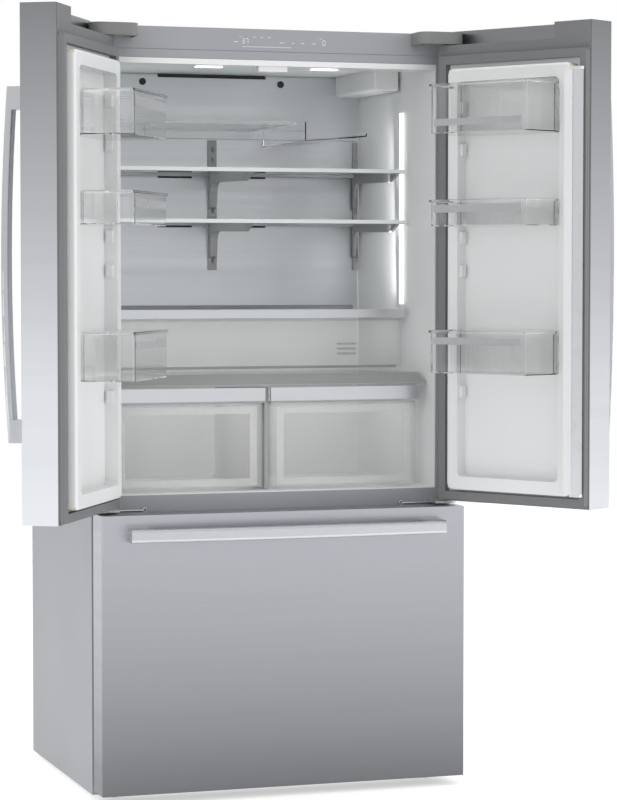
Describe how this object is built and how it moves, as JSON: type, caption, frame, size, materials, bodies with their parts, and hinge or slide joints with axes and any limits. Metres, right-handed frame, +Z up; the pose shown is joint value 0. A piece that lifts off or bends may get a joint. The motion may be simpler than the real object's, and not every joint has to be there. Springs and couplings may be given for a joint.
{
  "type": "french door refrigerator",
  "caption": "Free-standing refrigerator with two outward-swinging upper doors, shelves, bins and crispers inside, and a pull-out freezer drawer below.",
  "frame": {"origin": "on the floor under the middle of the cabinet's footprint, half way between the cabinet's front and back planes", "axes": "+X to the right seen from the front, +Y to the back, +Z up; the front faces -Y"},
  "size_m": [1.4726, 1.1057, 1.832],
  "materials": {
    "painted_steel": "satin grey enamel",
    "stainless": "brushed, satin",
    "liner_white": "satin white",
    "seal_grey": "matte",
    "foam": "rigid foam",
    "clear_plastic": "clear moulded plastic",
    "shelf_glass": "tempered glass",
    "trim_silver": "satin",
    "bracket_grey": "satin",
    "dark_plastic": "matte",
    "lamp_white": "frosted",
    "zinc_steel": "zinc plated",
    "black_steel": "satin black",
    "coil_metal": "matte",
    "grey_trim": "satin",
    "header_grey": "satin metallic grey",
    "cover_grey": "matte grey"
  },
  "bodies": {
    "cabinet": {"back_panel": "painted_steel", "base_frame": "zinc_steel", "bottle_rack": "clear_plastic", "cabinet_foam": "foam", "compressor": "black_steel", "condenser": "coil_metal", "control_header": "header_grey", "crisper_frame": "grey_trim", "deli_cover_trim": "trim_silver", "door_hinges": "zinc_steel", "drawer_cover_panes": "shelf_glass", "evaporator": "coil_metal", "filter_housing": "liner_white", "freezer_liner": "liner_white", "freezer_rails": "zinc_steel", "fresh_food_liner": "liner_white", "front_feet": "dark_plastic", "half_shelf_frame": "grey_trim", "hinge_covers": "cover_grey", "led_lamps": "lamp_white", "lower_shelf_frame": "bracket_grey", "mullion_guide": "liner_white", "outer_case": "painted_steel", "rear_wall_panels": "stainless", "shelf_panes": "shelf_glass", "shelf_tracks": "bracket_grey", "upper_shelf_frame": "bracket_grey", "vent_inserts": "dark_plastic", "water_valve": "dark_plastic"},
    "left_door": {"left_door_skin": "stainless", "left_door_foam": "foam", "left_door_liner": "liner_white", "left_door_gasket": "seal_grey", "left_door_handle": "stainless", "left_door_bins": "clear_plastic"},
    "right_door": {"right_door_skin": "stainless", "right_door_foam": "foam", "right_door_liner": "liner_white", "right_door_gasket": "seal_grey", "right_door_handle": "stainless", "right_door_bins": "clear_plastic", "mullion_brackets": "liner_white"},
    "mullion": {"mullion_bar": "liner_white", "mullion_face": "trim_silver"},
    "freezer_drawer": {"freezer_drawer_skin": "stainless", "freezer_drawer_foam": "foam", "freezer_drawer_liner": "liner_white", "freezer_drawer_gasket": "seal_grey", "freezer_drawer_handle": "stainless", "freezer_basket": "clear_plastic", "freezer_drawer_slides": "zinc_steel"},
    "freezer_tray": {"freezer_tray": "clear_plastic"},
    "deli_drawer": {"deli_drawer_pan": "clear_plastic"},
    "left_crisper": {"left_crisper_pan": "clear_plastic", "left_crisper_grip": "trim_silver"},
    "right_crisper": {"right_crisper_pan": "clear_plastic", "right_crisper_grip": "trim_silver"},
    "condenser_fan": {"condenser_fan": "dark_plastic"},
    "evaporator_fan": {"evaporator_fan": "dark_plastic"},
    "rear_rollers": {"rear_rollers": "dark_plastic"}
  },
  "joints": [
    {"name": "left_door_hinge", "type": "hinge", "parent": "cabinet", "child": "left_door", "pos_m": [-0.4356, -0.3585, 0.7], "axis": [0, 0, -1], "range_deg": [-120.4, 0]},
    {"name": "right_door_hinge", "type": "hinge", "parent": "cabinet", "child": "right_door", "pos_m": [0.4356, -0.3585, 0.7], "axis": [0, 0, 1], "range_deg": [-120.4, 0]},
    {"name": "mullion_flip", "type": "hinge", "parent": "right_door", "child": "mullion", "pos_m": [0.60417, -0.74759, 1.2], "axis": [0, 0, 1], "range_deg": [-0.5, 90.5]},
    {"name": "freezer_drawer_slide", "type": "slide", "parent": "cabinet", "child": "freezer_drawer", "axis": [0, -1, 0], "range_m": [0, 0.42]},
    {"name": "freezer_tray_slide", "type": "slide", "parent": "cabinet", "child": "freezer_tray", "axis": [0, -1, 0], "range_m": [0, 0.2527]},
    {"name": "deli_drawer_slide", "type": "slide", "parent": "cabinet", "child": "deli_drawer", "axis": [0, -1, 0], "range_m": [0, 0.25]},
    {"name": "left_crisper_slide", "type": "slide", "parent": "cabinet", "child": "left_crisper", "axis": [0, -1, 0], "range_m": [0, 0.3]},
    {"name": "right_crisper_slide", "type": "slide", "parent": "cabinet", "child": "right_crisper", "axis": [0, -1, 0], "range_m": [0, 0.3]},
    {"name": "condenser_fan_spin", "type": "hinge", "parent": "cabinet", "child": "condenser_fan", "pos_m": [-0.205, 0.2355, 0.13], "axis": [0, 1, 0], "continuous": true},
    {"name": "evaporator_fan_spin", "type": "hinge", "parent": "cabinet", "child": "evaporator_fan", "pos_m": [0, 0.2045, 0.52], "axis": [0, 1, 0], "continuous": true},
    {"name": "rear_roller_spin", "type": "hinge", "parent": "cabinet", "child": "rear_rollers", "pos_m": [0.402, 0.2455, 0.02], "axis": [1, 0, 0], "continuous": true}
  ],
  "couplings": [
    {"joint": "mullion_flip", "follows": "right_door_hinge", "ratio": -0.74751},
    {"joint": "freezer_tray_slide", "follows": "freezer_drawer_slide", "ratio": 0.6}
  ]
}
